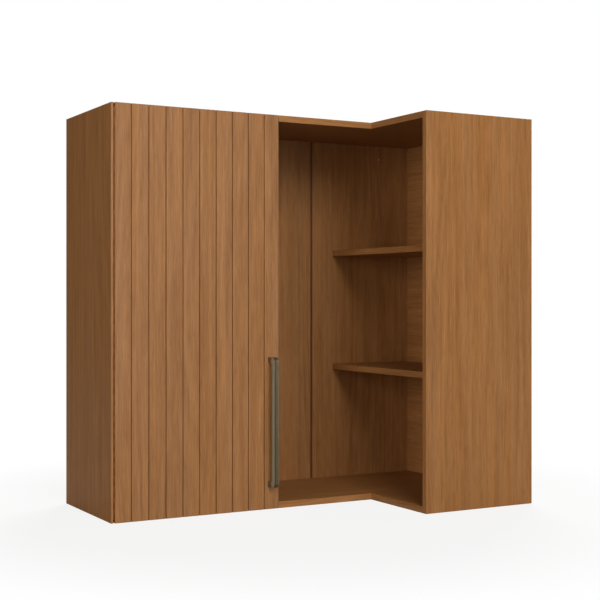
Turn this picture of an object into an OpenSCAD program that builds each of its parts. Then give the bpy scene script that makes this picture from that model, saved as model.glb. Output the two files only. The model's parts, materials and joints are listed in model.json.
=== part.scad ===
// Corner wall cabinet for a kitchen: an L-shaped carcass, one grooved door and an open corner.
// X runs to the right along the rear wall, Y towards the rear wall and Z up, in millimetres.
// The origin is the middle of the rectangle that the cabinet covers, at its underside.

/* [Carcass] */
// Height of the cabinet, and of its door
height = 915; // [800:5:1000]
// Width along the rear wall
total_width = 970; // [920:5:1080]
// Depth along the side wall
total_depth = 538; // [500:1:620]
// Depth of the arm that hangs on the rear wall
rear_arm_depth = 305; // [290:1:340]
// Width of the arm that hangs on the side wall
side_arm_width = 305; // [290:1:340]
// Thickness of the boards
board_t = 15; // [15:0.5:18]

/* [Door] */
// Width of the door
door_w = 401.5; // [380:0.5:430]
// Thickness of the door
door_t = 15; // [15:0.5:18]
// Width of the side panel's lip beside the door
lip_w = 5.5; // [5:0.1:6]
// Gap between the lip and the door, which the hinge fills
hinge_gap = 3.3; // [3.1:0.1:4]
// Gap between the door's free edge and the panels
free_gap = 1.5; // [1:0.5:4]
// Gap between the door's back and the carcass
back_gap = 2.5; // [2.3:0.1:4]
// How far the door stands in front of the side panel's lip
door_proud = 2; // [1.6:0.1:3]
// Number of grooves in the door's face
groove_count = 9; // [3:1:9]
// Distance from one groove to the next
groove_pitch = 40.85; // [30:0.05:44]
// Width of a groove
groove_w = 2.4; // [1.5:0.1:4]
// Depth of a groove
groove_d = 2.5; // [1:0.1:4]

/* [Shelves] */
// Number of shelves in the side arm, evenly spaced
shelf_count = 2; // [2:1:3]
// How far the shelves' front edge lies behind the arm's open side
shelf_setback = 63; // [20:0.5:120]

/* [Backs and rails] */
// Thickness of the thin back panels
back_t = 3; // [2.5:0.5:4]
// Depth of the grooves that hold the rear backs
back_groove = 6; // [4:0.5:8]
// Play of a back panel in its groove
groove_play = 0.2; // [0.1:0.1:0.5]
// Thickness of the rails and posts behind the rear backs
rail_t = 12; // [10:0.5:15]
// Height of a hanging rail
rail_h = 70; // [60:5:100]
// Width of a post
post_w = 60; // [50:5:80]
// Distance from the joint strip to the arm's open side
seam_offset = 2; // [0:1:60]
// Width of the joint strip's flanges
strip_w = 6; // [5:0.5:12]
// Thickness of the joint strip's flanges
strip_flange = 0.8; // [0.6:0.1:1.2]
// Thickness of the joint strip's web
strip_web = 1.2; // [1:0.1:2]

/* [Wall screws] */
// Distance between the wall holes along a rail
wall_hole_pitch = 800; // [700:5:840]
// Distance from the side panel to the first wall hole
wall_hole_inset = 60; // [40:5:80]
// Diameter of a wall hole
wall_hole_d = 6; // [5:0.5:8]

/* [Fittings] */
// Distance from a board's end to its first cam
joint_inset = 50; // [40:5:60]
// Distance from a cam to the dowel beside it
dowel_step = 32; // [25:1:40]
// Diameter of a panel dowel
dowel_d = 8; // [6:1:8]
// Length of a dowel
dowel_len = 30; // [25:1:35]
// Diameter of a dowel in the rails and posts
rail_dowel_d = 6; // [5:1:6]
// Diameter of a cam
cam_d = 15; // [12:1:15]
// Depth of a cam's pocket
cam_depth = 12.5; // [12:0.5:13]
// Distance from the upright to the middle of a cam
cam_reach = 34; // [30:1:36]
// Diameter of a cam bolt's thread
bolt_thread_d = 5; // [4:0.5:6]
// Length of a cam bolt's thread
bolt_thread_len = 11; // [9:0.5:12]
// Distance from the cabinet's side to the first screw in a rail
rail_screw_inset = 170; // [120:5:250]
// Diameter of a wood screw's shank
screw_d = 4; // [3.5:0.5:5]
// Diameter of a wood screw's head
screw_head_d = 8; // [7:0.5:9]
// Distance from a shelf's end to its pin
shelf_pin_inset = 37; // [25:1:60]
// Diameter of a shelf pin
pin_d = 5; // [4:0.5:6]
// Depth of a shelf pin in the end panel
pin_depth = 8; // [6:0.5:9]
// Spacing of the nails in the side back
nail_pitch = 120; // [80:5:160]
// Length of a nail
nail_len = 20; // [16:1:25]

/* [Hinge] */
// Length of one knuckle with its gap
knuckle_pitch = 25; // [20:1:40]
// Gap between two knuckles
knuckle_gap = 0.5; // [0.3:0.1:1]
// Play between a knuckle and the wood on each side of it
knuckle_play = 0.25; // [0.2:0.05:0.4]
// Distance from the door's face to the middle of the hinge pin
pin_setback = 1.6; // [1.6:0.05:2]
// Radius of the hinge pin
hinge_pin_r = 0.7; // [0.5:0.05:0.8]
// Running play around the hinge pin in the door's knuckles
pin_play = 0.05; // [0.02:0.01:0.08]
// Thickness of a hinge leaf
leaf_t = 0.7; // [0.5:0.05:0.8]
// Distance between the hinge screws
leaf_screw_pitch = 100; // [75:5:150]

/* [Handle] */
// Length of the handle
handle_len = 300; // [160:5:400]
// Width of the handle's bar
bar_w = 13.3; // [9:0.1:15]
// Thickness of the handle's bar
bar_t = 11; // [8:0.5:14]
// How far the handle stands out from the door
handle_reach = 29; // [24:0.5:35]
// Height of the handle's lower end above the door's lower edge
handle_bottom = 52; // [20:1:300]
// Distance from the handle to the door's free edge
handle_inset = 13.7; // [8:0.1:40]
// Length of the handle's foot on the door
foot_len = 12; // [10:0.5:20]

/* [Catches] */
// Width of a magnetic catch over its ears
catch_w = 45; // [40:1:55]
// Width of the magnet's case
case_w = 26; // [22:1:30]
// Height of the case
case_h = 14; // [12:0.5:18]
// Depth of the case
case_d = 15; // [13:0.5:20]
// Distance from the door's free edge to the catch's middle
catch_inset = 44; // [35:1:80]

/* [Hidden] */
$fn = 48;

// Colours as the photograph shows them
wood = "#9c7350";
thin_wood = "#7d5936";
raw_wood = "#c9a878";
bronze = "#5a5442";
steel = "#b4b4b0";
zinc = "#9a9a94";
brown = "#5b3a22";

// Overlap that lets a cut run clear of a face
cut = 1;

// Planes of the carcass
x_left = -total_width / 2;
x_right = total_width / 2;
y_rear = total_depth / 2;
y_end = -total_depth / 2;
x_left_in = x_left + board_t;
x_right_in = x_right - back_t;
y_end_in = y_end + board_t;
y_front = y_rear - rear_arm_depth;
x_inner = x_right - side_arm_width;
z_floor = board_t;
z_ceiling = height - board_t;

// Planes of the door
x_door = x_left + lip_w + hinge_gap;
x_door_free = x_door + door_w;
y_door_back = y_front + door_t;
y_carcass_front = y_door_back + back_gap;
x_notch = x_door_free + free_gap;

// Planes of the backs and rails
y_rail = y_rear - rail_t;
y_back = y_rail - back_t;
slot_w = back_t + groove_play;
x_seam = x_inner - seam_offset;
rebate_w = 9;
z_rail_top = z_ceiling - rail_h;
z_rail_bottom = z_floor + rail_h;

// Shelves and the posts behind them
x_shelf = x_inner + shelf_setback;
bay_h = (z_ceiling - z_floor - shelf_count * board_t) / (shelf_count + 1);
shelf_levels = [for (i = [0 : shelf_count - 1]) z_floor + bay_h + i * (bay_h + board_t)];
post_inset = 9.5;
pin_hole_play = 0.3;
pin_collar = 1;
pin_reach = 7;
x_shelf_post = x_shelf + post_inset;
x_corner_post = x_right_in - post_w;

// Cam fittings: the bolt's bore, collar, neck and head, and the cam's bore and slot
bolt_bore_r = 4;
bolt_collar_r = 2.8;
bolt_collar_len = 1.2;
bolt_neck_r = 2.2;
bolt_head_r = 3.3;
bolt_head_len = 3;
cam_play = 0.1;
cam_sink = 0.3;
cam_bore_r = 3.6;
cam_slot = [9, 1.4, 2];
left_cam_y = [y_carcass_front + joint_inset, y_back - joint_inset];
end_cam_x = [x_inner + joint_inset, x_right_in - joint_inset];

// Screws
head_h = 2.5;
screw_play = 0.2;
screw_sink = 0.3;
rail_screw_len = 40;
shelf_screw_len = 45;
y_rail_mid = y_rear - rail_t / 2;
rail_screw_x = [x_left + rail_screw_inset, 0, x_right - rail_screw_inset];
small_screw_r = 1.4;
small_head_r = 2.4;
small_head_h = 0.8;

// Nails in the side back
nail_r = 0.7;
nail_head_r = 1.6;
nail_head_h = 0.5;
nail_sink = 0.1;
nail_play = 0.05;
nail_edge = 25;

// Hinge
knuckle_r = hinge_gap / 2 - knuckle_play;
x_pin = x_left + lip_w + hinge_gap / 2;
y_pin = y_front + pin_setback;
hinge_margin = 7.5;
wing_inset = 0.5;
knuckle_count = floor((height - 2 * hinge_margin) / knuckle_pitch);
hinge_len = knuckle_count * knuckle_pitch;
z_hinge = (height - hinge_len) / 2;
leaf_clear = 0.35;
leaf_lap = 0.1;
leaf_start = y_pin + knuckle_r + leaf_clear;
door_leaf_w = 10.5;
leaf_screw_len = 12;
leaf_screw_margin = 30;
leaf_screw_count = floor((hinge_len - 2 * leaf_screw_margin) / leaf_screw_pitch) + 1;
leaf_screw_z = [for (i = [0 : leaf_screw_count - 1])
    height / 2 + (i - (leaf_screw_count - 1) / 2) * leaf_screw_pitch];
wing_end = x_left_in - wing_inset;

// Handle
x_handle = x_door_free - handle_inset - bar_w;
y_handle = y_front - handle_reach;
handle_slope = 9;
flute_w = 1.2;
flute_d = 0.8;
handle_screw_r = 2;
handle_screw_in = 12;
handle_screw_head_h = 1.6;
foot_flare = 4;
foot_middles = [handle_bottom + foot_len / 2, handle_bottom + handle_len - foot_len / 2];

// Catches, strikes and bumpers
strike_t = 1;
strike_sink = 0.6;
strike_screw_len = 10;
strike_size = [26, 12];
x_catch = x_door_free - catch_inset;
ear_t = 3;
magnet_size = [18, 5];
pole_t = 1.2;
pole_gap = 0.3;
magnet_depth = 10;
catch_screw_x = [-1, 1] * (catch_w + case_w) / 4;
catch_screw_len = 12;
bumper_r = 4;
bumper_play = 0.3;
bumper_inset = 12;
bumper_x = x_door_free - bumper_inset;

// A box between two corners
module block(low, high) translate(low) cube(high - low);

// Round rods that start at a point and run along X, Y or Z
module rod_x(at, r, len) translate(at) rotate([0, 90, 0]) cylinder(r = r, h = len);
module rod_y(at, r, len) translate(at) rotate([-90, 0, 0]) cylinder(r = r, h = len);
module rod_z(at, r, len) translate(at) cylinder(r = r, h = len);

// Puts a fitting at each panel joint, at the given places along the side and the end panel.
// In its own frame the upright's inner face is X = 0 and +Z points out of the cabinet.
module at_panel_joints(side_y, end_x)
    for (upper = [0, 1]) {
        z = upper ? height - board_t / 2 : board_t / 2;
        for (y = side_y)
            translate([x_left_in, y, z]) rotate([upper ? 0 : 180, 0, 0]) children();
        for (x = end_x)
            translate([x, y_end_in, z]) rotate([0, 0, 90]) rotate([upper ? 0 : 180, 0, 0]) children();
    }

module at_cams() at_panel_joints(left_cam_y, end_cam_x) children();

module at_dowels()
    at_panel_joints([left_cam_y[0] + dowel_step, left_cam_y[1] - dowel_step],
        [end_cam_x[0] + dowel_step, end_cam_x[1] - dowel_step]) children();

module panel_dowel() rod_x([-dowel_len / 3, 0, 0], dowel_d / 2, dowel_len);

module joint_cuts() {
    at_cams() {
        rod_x([-bolt_thread_len, 0, 0], bolt_thread_d / 2, bolt_thread_len + cut);
        rod_x([0, 0, 0], bolt_bore_r, cam_reach);
        rod_z([cam_reach, 0, board_t / 2 - cam_depth], cam_d / 2 + cam_play, cam_depth + cut);
    }
    at_dowels() panel_dowel();
}

// Dowels that hold the rails to the side panel and the posts to the rails
module rail_dowel_set() {
    for (z = [z_rail_top + rail_h / 2, z_floor + rail_h / 2], step = [-1, 1])
        rod_x([x_left_in - dowel_len / 3, y_rail_mid, z + step * rail_h / 4], rail_dowel_d / 2, dowel_len);
    for (x = [x_shelf_post, x_corner_post], z = [z_rail_top, z_rail_bottom])
        rod_z([x + post_w / 2, y_rail_mid, z - dowel_len / 2], rail_dowel_d / 2, dowel_len);
}

// A countersunk wood screw whose head is flush with z = 0 and whose tip points down
module wood_screw(len, play) {
    rod_z([0, 0, -len], screw_d / 2, len - head_h / 2);
    rod_z([0, 0, -head_h - play], screw_head_d / 2 + play, head_h + play);
}

module at_rail_screws()
    for (x = rail_screw_x) {
        translate([x, y_rail_mid, height - screw_sink]) children();
        translate([x, y_rail_mid, screw_sink]) rotate([180, 0, 0]) children();
    }

module at_shelf_screws()
    for (z = shelf_levels, x = [x_shelf_post, x_corner_post])
        translate([x + post_w / 2, y_rear - screw_sink, z + board_t / 2]) rotate([-90, 0, 0]) children();

// The clear hole of a wood screw through a board of the given thickness, and its tight hole beyond
module screw_cut(len, board) {
    wood_screw(len, screw_play);
    rod_z([0, 0, -board], screw_d / 2 + screw_play, board + cut);
    rod_z([0, 0, -cut], screw_head_d / 2 + screw_play, 2 * cut);
}

// Places of the nails in the side back, as [y, z]
function steps(low, high, pitch) =
    let (count = max(1, floor((high - low) / pitch)))
    [for (i = [0 : count]) low + i * (high - low) / count];
nail_rows = concat(
    [for (y = steps(y_end_in + nail_edge, y_back - nail_edge, nail_pitch),
        z = concat([board_t / 2, height - board_t / 2], [for (s = shelf_levels) s + board_t / 2])) [y, z]],
    [for (z = steps(z_floor + nail_edge, z_ceiling - nail_edge, nail_pitch),
        y = [y_end_in - rebate_w / 2, y_rail_mid]) [y, z]]);

module nail_shanks()
    for (p = nail_rows) rod_x([x_right - nail_len, p[0], p[1]], nail_r, nail_len - nail_head_h);

module wall_holes()
    for (x = [0, wall_hole_pitch], z = [z_rail_top + rail_h / 2, z_floor + rail_h / 2])
        rod_y([x_left_in + wall_hole_inset + x, y_back - cut, z], wall_hole_d / 2, rail_t + back_t + 2 * cut);

// The space of the rear backs, with their edges in the grooves
module back_slot()
    block([x_left_in - back_groove, y_back, z_floor - back_groove],
        [x_right_in + cut, y_back + slot_w, z_ceiling + back_groove]);

module side_back_space(play)
    block([x_right_in, y_end_in - rebate_w - play, -play], [x_right + play, y_rear + play, height + play]);

// Shank of a small screw in the hinge leaves, along +X or +Y of the child's frame
module at_side_leaf_screws()
    for (z = leaf_screw_z)
        translate([(x_left + lip_w + leaf_t + wing_end) / 2, y_carcass_front - leaf_t, z]) children();

module at_door_leaf_screws()
    for (z = leaf_screw_z)
        translate([x_door - leaf_t, leaf_start + door_leaf_w / 2, z]) children();

module left_side() color(wood)
    difference() {
        block([x_left, y_front + door_proud, 0], [x_left_in, y_rear, height]);
        block([x_left + lip_w, y_front, -cut], [x_left_in + cut, y_carcass_front, height + cut]);
        back_slot();
        joint_cuts();
        rail_dowel_set();
        at_side_leaf_screws() rod_y([0, 0, 0], small_screw_r, leaf_screw_len);
    }

module end_panel() color(wood)
    difference() {
        block([x_inner, y_end, 0], [x_right, y_end_in, height]);
        side_back_space(cut / 10);
        joint_cuts();
        nail_shanks();
        shelf_pin_set(pin_hole_play);
    }

// Outline of the top and bottom panels, seen from above
module corner_outline()
    polygon([[x_left_in, y_carcass_front], [x_notch, y_carcass_front], [x_notch, y_front],
        [x_inner, y_front], [x_inner, y_end_in], [x_right_in, y_end_in], [x_right_in, y_rear],
        [x_left_in, y_rear]]);

module corner_board(z)
    difference() {
        translate([0, 0, z]) linear_extrude(board_t) corner_outline();
        back_slot();
        joint_cuts();
        nail_shanks();
        at_rail_screws() screw_cut(rail_screw_len, board_t);
        at_catch_screws() rod_z([0, 0, 0], small_screw_r, catch_screw_len);
    }

module top_panel() color(wood) corner_board(z_ceiling);
module bottom_panel() color(wood) corner_board(0);

module shelf(z) color(wood)
    difference() {
        block([x_shelf, y_end_in, z], [x_right_in, y_back, z + board_t]);
        nail_shanks();
        at_shelf_screws() screw_cut(shelf_screw_len, rail_t + back_t);
    }

module upper_shelves() for (i = [1 : 1 : shelf_count - 1]) shelf(shelf_levels[i]);
module lowest_shelf() shelf(shelf_levels[0]);

// The two rear backs meet in the joint strip's web
module rear_back(x_low, x_high) color(thin_wood)
    difference() {
        block([x_low, y_back, z_floor - back_groove + groove_play],
            [x_high, y_back + back_t, z_ceiling + back_groove - groove_play]);
        wall_holes();
        at_shelf_screws() screw_cut(shelf_screw_len, rail_t + back_t);
    }

module rear_back_left() rear_back(x_left_in - back_groove + groove_play, x_seam - strip_web / 2);
module rear_back_right() rear_back(x_seam + strip_web / 2, x_right_in);

module back_joint_strip() color(brown) {
    block([x_seam - strip_web / 2, y_back - strip_flange, z_floor],
        [x_seam + strip_web / 2, y_rail + strip_flange, z_ceiling]);
    for (y = [y_back - strip_flange, y_rail])
        block([x_seam - strip_w / 2, y, z_floor], [x_seam + strip_w / 2, y + strip_flange, z_ceiling]);
}

module side_back() color(thin_wood)
    difference() {
        side_back_space(0);
        nail_shanks();
        for (p = nail_rows)
            rod_x([x_right - nail_head_h - nail_sink, p[0], p[1]], nail_head_r + nail_play, cut);
    }

// A hanging rail, with a recess where the joint strip's rear flange passes
module hanging_rail(z) color(raw_wood)
    difference() {
        block([x_left_in, y_rail, z], [x_right_in, y_rear, z + rail_h]);
        block([x_seam - strip_w / 2 - groove_play, y_rail - cut, z - cut],
            [x_seam + strip_w / 2 + groove_play, y_rail + strip_flange + groove_play, z + rail_h + cut]);
        wall_holes();
        rail_dowel_set();
        nail_shanks();
        at_rail_screws() screw_cut(rail_screw_len, board_t);
    }

module top_hanging_rail() hanging_rail(z_rail_top);
module bottom_hanging_rail() hanging_rail(z_floor);

module post(x) color(raw_wood)
    difference() {
        block([x, y_rail, z_rail_bottom], [x + post_w, y_rear, z_rail_top]);
        rail_dowel_set();
        nail_shanks();
        at_shelf_screws() screw_cut(shelf_screw_len, rail_t + back_t);
    }

module shelf_post() post(x_shelf_post);
module corner_post() post(x_corner_post);

// A cam in its pocket, with a slot for the screwdriver and a bore for the bolt's head
module cam_housings() color(zinc) at_cams()
    difference() {
        rod_z([cam_reach, 0, board_t / 2 - cam_depth], cam_d / 2, cam_depth - cam_sink);
        rod_x([cam_reach - cam_d, 0, 0], cam_bore_r, cam_d + bolt_head_len);
        translate([cam_reach - cam_slot[0] / 2, -cam_slot[1] / 2, board_t / 2 - cam_sink - cam_slot[2]])
            cube([cam_slot[0], cam_slot[1], cam_slot[2] + cut]);
    }

module cam_bolts() color(steel) at_cams() {
    rod_x([-bolt_thread_len, 0, 0], bolt_thread_d / 2, bolt_thread_len);
    rod_x([0, 0, 0], bolt_collar_r, bolt_collar_len);
    rod_x([0, 0, 0], bolt_neck_r, cam_reach);
    rod_x([cam_reach - bolt_head_len / 2, 0, 0], bolt_head_r, bolt_head_len);
}

module panel_dowels() color(raw_wood) at_dowels() panel_dowel();
module rail_dowels() color(raw_wood) rail_dowel_set();
module rail_screws() color(steel) at_rail_screws() wood_screw(rail_screw_len, 0);
module shelf_screws() color(steel) at_shelf_screws() wood_screw(shelf_screw_len, 0);

// Pins in the end panel, which carry the shelves; depth_play deepens their holes
module shelf_pin_set(depth_play)
    for (z = shelf_levels, x = [x_shelf + shelf_pin_inset, x_right_in - shelf_pin_inset])
        translate([x, y_end_in, z - pin_d / 2 - pin_collar]) {
            rod_y([0, -pin_depth - depth_play, 0], pin_d / 2, pin_depth + depth_play);
            rod_y([0, 0, 0], pin_d / 2 + pin_collar, pin_reach);
        }

module shelf_pins() color(steel) shelf_pin_set(0);

module back_nails() color(steel) {
    nail_shanks();
    for (p = nail_rows)
        rod_x([x_right - nail_head_h - nail_sink, p[0], p[1]], nail_head_r, nail_head_h);
}

// Every second knuckle of the hinge, from the given one, with a bore for the pin
module knuckles(first, bore_r)
    for (i = [first : 2 : knuckle_count - 1])
        rod_z([x_pin, y_pin, z_hinge + i * knuckle_pitch + knuckle_gap / 2], knuckle_r,
            knuckle_pitch - knuckle_gap);

// The strips that join a leaf at x_low to its knuckles
module knuckle_roots(first, x_low, x_high)
    for (i = [first : 2 : knuckle_count - 1])
        block([x_low, y_pin, z_hinge + i * knuckle_pitch + knuckle_gap / 2],
            [x_high, leaf_start + leaf_lap, z_hinge + (i + 1) * knuckle_pitch - knuckle_gap / 2]);

// The fixed leaf lies on the lip and turns across the side panel's front edge
module hinge_side_leaf() color(brown)
    difference() {
        union() {
            knuckles(0);
            knuckle_roots(0, x_left + lip_w, x_left + lip_w + leaf_t);
            block([x_left + lip_w, leaf_start, z_hinge],
                [x_left + lip_w + leaf_t, y_carcass_front, z_hinge + hinge_len]);
            block([x_left + lip_w, y_carcass_front - leaf_t, z_hinge],
                [wing_end, y_carcass_front, z_hinge + hinge_len]);
        }
        rod_z([x_pin, y_pin, 0], hinge_pin_r, height);
        at_side_leaf_screws() rod_y([0, -cut, 0], small_screw_r, leaf_t + 2 * cut);
    }

module hinge_pin() color(steel) rod_z([x_pin, y_pin, z_hinge], hinge_pin_r, hinge_len);

module hinge_side_screws() color(brown) at_side_leaf_screws() {
    rod_y([0, 0, 0], small_screw_r, leaf_screw_len);
    rod_y([0, -small_head_h, 0], small_head_r, small_head_h);
}

// The moving leaf lies on the door's hinged edge
module hinge_door_leaf() color(brown)
    difference() {
        union() {
            knuckles(1);
            knuckle_roots(1, x_door - leaf_t, x_door);
            block([x_door - leaf_t, leaf_start, z_hinge],
                [x_door, leaf_start + door_leaf_w, z_hinge + hinge_len]);
        }
        rod_z([x_pin, y_pin, 0], hinge_pin_r + pin_play, height);
        at_door_leaf_screws() rod_x([-cut, 0, 0], small_screw_r, leaf_t + 2 * cut);
    }

module hinge_door_screws() color(brown) at_door_leaf_screws() {
    rod_x([0, 0, 0], small_screw_r, leaf_screw_len);
    rod_x([-small_head_h, 0, 0], small_head_r, small_head_h);
}

// Puts a catch part under the top panel and over the bottom panel; +Z points into that panel
module at_catches() {
    translate([x_catch, y_carcass_front, z_ceiling]) children();
    translate([x_catch, y_carcass_front, z_floor]) mirror([0, 0, 1]) children();
}

module at_catch_screws()
    at_catches() for (x = catch_screw_x) translate([x, case_d / 2, -ear_t]) children();

// The pocket of the magnet and its two pole plates
module magnet_pocket()
    block([-magnet_size[0] / 2, -cut, -case_h / 2 - magnet_size[1] / 2 - pole_t],
        [magnet_size[0] / 2, magnet_depth, -case_h / 2 + magnet_size[1] / 2 + pole_t]);

module catch_cases() color("#6b4a2c")
    difference() {
        at_catches()
            difference() {
                union() {
                    block([-case_w / 2, 0, -case_h], [case_w / 2, case_d, 0]);
                    block([-catch_w / 2, 0, -ear_t], [catch_w / 2, case_d, 0]);
                }
                magnet_pocket();
            }
        at_catch_screws() rod_z([0, 0, -cut], small_screw_r, ear_t + 2 * cut);
    }

module catch_magnets() color("#3a3835") at_catches()
    block([-magnet_size[0] / 2, 0, -case_h / 2 - magnet_size[1] / 2],
        [magnet_size[0] / 2, magnet_depth, -case_h / 2 + magnet_size[1] / 2]);

// The pole plates stand out to just short of the strike
module catch_poles() color(steel) at_catches()
    for (z = [-magnet_size[1] / 2 - pole_t, magnet_size[1] / 2])
        block([-magnet_size[0] / 2, -back_gap + strike_t + pole_gap, -case_h / 2 + z],
            [magnet_size[0] / 2, magnet_depth, -case_h / 2 + z + pole_t]);

module catch_screws() color(steel) at_catch_screws() {
    rod_z([0, 0, 0], small_screw_r, catch_screw_len);
    rod_z([0, 0, -small_head_h], small_head_r, small_head_h);
}

// Puts a strike part on the door's back, opposite a catch
module at_strikes()
    for (z = [z_ceiling - case_h / 2, z_floor + case_h / 2])
        translate([x_catch, y_door_back, z]) children();

module strike_plates() color(steel) at_strikes()
    difference() {
        block([-strike_size[0] / 2, 0, -strike_size[1] / 2], [strike_size[0] / 2, strike_t, strike_size[1] / 2]);
        rod_y([0, -cut, 0], small_screw_r, strike_t + 2 * cut);
        rod_y([0, strike_t - strike_sink, 0], small_head_r + screw_play, cut);
    }

module strike_screws() color(steel) at_strikes() {
    rod_y([0, -strike_screw_len, 0], small_screw_r, strike_screw_len + strike_t - strike_sink);
    rod_y([0, strike_t - strike_sink, 0], small_head_r, strike_sink);
}

module at_handle_screws()
    for (z = foot_middles) translate([x_handle + bar_w / 2, y_door_back, z]) children();

// The clear holes through the door and the threaded holes in the handle's feet
module handle_screw_cut(play) {
    rod_y([0, -door_t - handle_screw_in, 0], handle_screw_r, handle_screw_in + door_t);
    rod_y([0, -door_t, 0], handle_screw_r + play, door_t + cut);
}

module door_panel() color(wood)
    difference() {
        block([x_door, y_front, 0], [x_door_free, y_door_back, height]);
        for (i = [0 : groove_count - 1])
            translate([x_door + door_w / 2 + (i - (groove_count - 1) / 2) * groove_pitch - groove_w / 2,
                y_front - cut, -cut])
                cube([groove_w, groove_d + cut, height + 2 * cut]);
        at_handle_screws() handle_screw_cut(screw_play);
        at_door_leaf_screws() rod_x([0, 0, 0], small_screw_r, leaf_screw_len);
        at_strikes() rod_y([0, -strike_screw_len, 0], small_screw_r, strike_screw_len + cut);
    }

// Side view of the handle: a flat bar whose sloping ends meet the door. X is the reach, Y the height.
module handle_profile() {
    inner = handle_reach - bar_t;
    polygon([[0, 0], [handle_reach, handle_slope], [handle_reach, handle_len - handle_slope],
        [0, handle_len], [0, handle_len - foot_len], [inner, handle_len - foot_len - foot_flare],
        [inner, foot_len + foot_flare], [0, foot_len]]);
}

module handle() color(bronze)
    difference() {
        translate([x_handle, y_front, handle_bottom])
            mirror([0, 1, 0]) rotate([90, 0, 90]) linear_extrude(bar_w) handle_profile();
        for (x = [1, 2] * bar_w / 3)
            block([x_handle + x - flute_w / 2, y_handle - cut, handle_bottom - cut],
                [x_handle + x + flute_w / 2, y_handle + flute_d, handle_bottom + handle_len + cut]);
        at_handle_screws() handle_screw_cut(0);
    }

module handle_screws() color(steel) at_handle_screws() {
    rod_y([0, -door_t - handle_screw_in, 0], handle_screw_r, handle_screw_in + door_t);
    rod_y([0, 0, 0], screw_head_d / 2, handle_screw_head_h);
}

// Soft buttons on the door's back, opposite the front edges of the top and bottom panels
module door_bumpers() color("#d8d4cc")
    for (z = [board_t / 2, height - board_t / 2])
        rod_y([bumper_x, y_door_back, z], bumper_r, back_gap - bumper_play);

left_side();
end_panel();
top_panel();
bottom_panel();
upper_shelves();
lowest_shelf();
rear_back_left();
rear_back_right();
back_joint_strip();
side_back();
top_hanging_rail();
bottom_hanging_rail();
shelf_post();
corner_post();
cam_housings();
cam_bolts();
panel_dowels();
rail_dowels();
rail_screws();
shelf_screws();
shelf_pins();
back_nails();
hinge_side_leaf();
hinge_pin();
hinge_side_screws();
catch_cases();
catch_magnets();
catch_poles();
catch_screws();
door_panel();
hinge_door_leaf();
hinge_door_screws();
handle();
handle_screws();
strike_plates();
strike_screws();
door_bumpers();
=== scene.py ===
import bpy
import bmesh
import json
import math
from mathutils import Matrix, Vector


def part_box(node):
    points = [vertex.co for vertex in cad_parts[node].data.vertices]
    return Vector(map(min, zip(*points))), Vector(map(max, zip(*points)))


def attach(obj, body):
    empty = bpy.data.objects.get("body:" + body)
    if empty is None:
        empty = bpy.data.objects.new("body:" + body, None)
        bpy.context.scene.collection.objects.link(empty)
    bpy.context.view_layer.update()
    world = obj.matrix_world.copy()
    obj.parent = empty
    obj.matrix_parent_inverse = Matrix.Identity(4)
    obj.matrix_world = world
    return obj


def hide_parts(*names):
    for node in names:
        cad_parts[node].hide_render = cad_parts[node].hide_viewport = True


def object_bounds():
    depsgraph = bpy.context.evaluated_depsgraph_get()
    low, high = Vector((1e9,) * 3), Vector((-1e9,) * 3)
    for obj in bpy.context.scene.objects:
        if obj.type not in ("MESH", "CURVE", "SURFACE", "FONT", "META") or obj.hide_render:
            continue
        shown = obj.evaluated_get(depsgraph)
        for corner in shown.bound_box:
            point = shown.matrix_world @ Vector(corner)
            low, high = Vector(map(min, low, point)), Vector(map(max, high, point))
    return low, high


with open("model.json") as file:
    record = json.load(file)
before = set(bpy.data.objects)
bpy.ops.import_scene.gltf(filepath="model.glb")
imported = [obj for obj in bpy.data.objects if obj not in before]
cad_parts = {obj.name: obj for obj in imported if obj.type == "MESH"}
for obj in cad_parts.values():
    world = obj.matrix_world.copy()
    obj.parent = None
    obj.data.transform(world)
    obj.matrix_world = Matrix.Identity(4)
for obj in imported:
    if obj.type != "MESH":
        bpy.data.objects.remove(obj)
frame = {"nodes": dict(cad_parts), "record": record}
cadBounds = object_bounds()
nodes = frame["nodes"]
bodyOf = {node: body for body, members in frame["record"]["behaviour"]["bodies"].items() for node in members}
mm = 0.001
print("frame loaded:", len(nodes), "nodes")


# Camera: level, turned to the right, with a small shift that puts the horizon where the photograph has it
camera = {
    "place": (-1.4244, -2.565, 0.4903),
    "turn": -29.09,
    "lens": 73.88,
    "filmWidth": 36,
    "shiftUp": -0.004,
}
cameraData = bpy.data.cameras.new("camera")
cameraData.lens = camera["lens"]
cameraData.sensor_width = camera["filmWidth"]
cameraData.shift_y = camera["shiftUp"]
cameraObject = bpy.data.objects.new("camera", cameraData)
cameraObject.location = camera["place"]
cameraObject.rotation_euler = (math.radians(90), 0, math.radians(camera["turn"]))
bpy.context.scene.collection.objects.link(cameraObject)
bpy.context.scene.camera = cameraObject


# Node maths: a wire is one socket, and sums and products of wires add their own Math nodes
class Wire:
    def __init__(self, board, socket):
        self.board, self.socket = board, socket

    def __add__(self, other):
        return self.board.maths("ADD", self, other)

    def __sub__(self, other):
        return self.board.maths("SUBTRACT", self, other)

    def __rsub__(self, other):
        return self.board.maths("SUBTRACT", other, self)

    def __mul__(self, other):
        return self.board.maths("MULTIPLY", self, other)

    def __truediv__(self, other):
        return self.board.maths("DIVIDE", self, other)

    __radd__ = __add__
    __rmul__ = __mul__

    def sine(self):
        return self.board.maths("SINE", self)

    def least(self, other):
        return self.board.maths("MINIMUM", self, other)

    def most(self, other):
        return self.board.maths("MAXIMUM", self, other)

    def step(self, low, high):  # 0 below low, 1 above high, smooth between
        return self.board.node("ShaderNodeMapRange", {"interpolation_type": "SMOOTHSTEP"},
                               {"Value": self, "From Min": low, "From Max": high})


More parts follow.
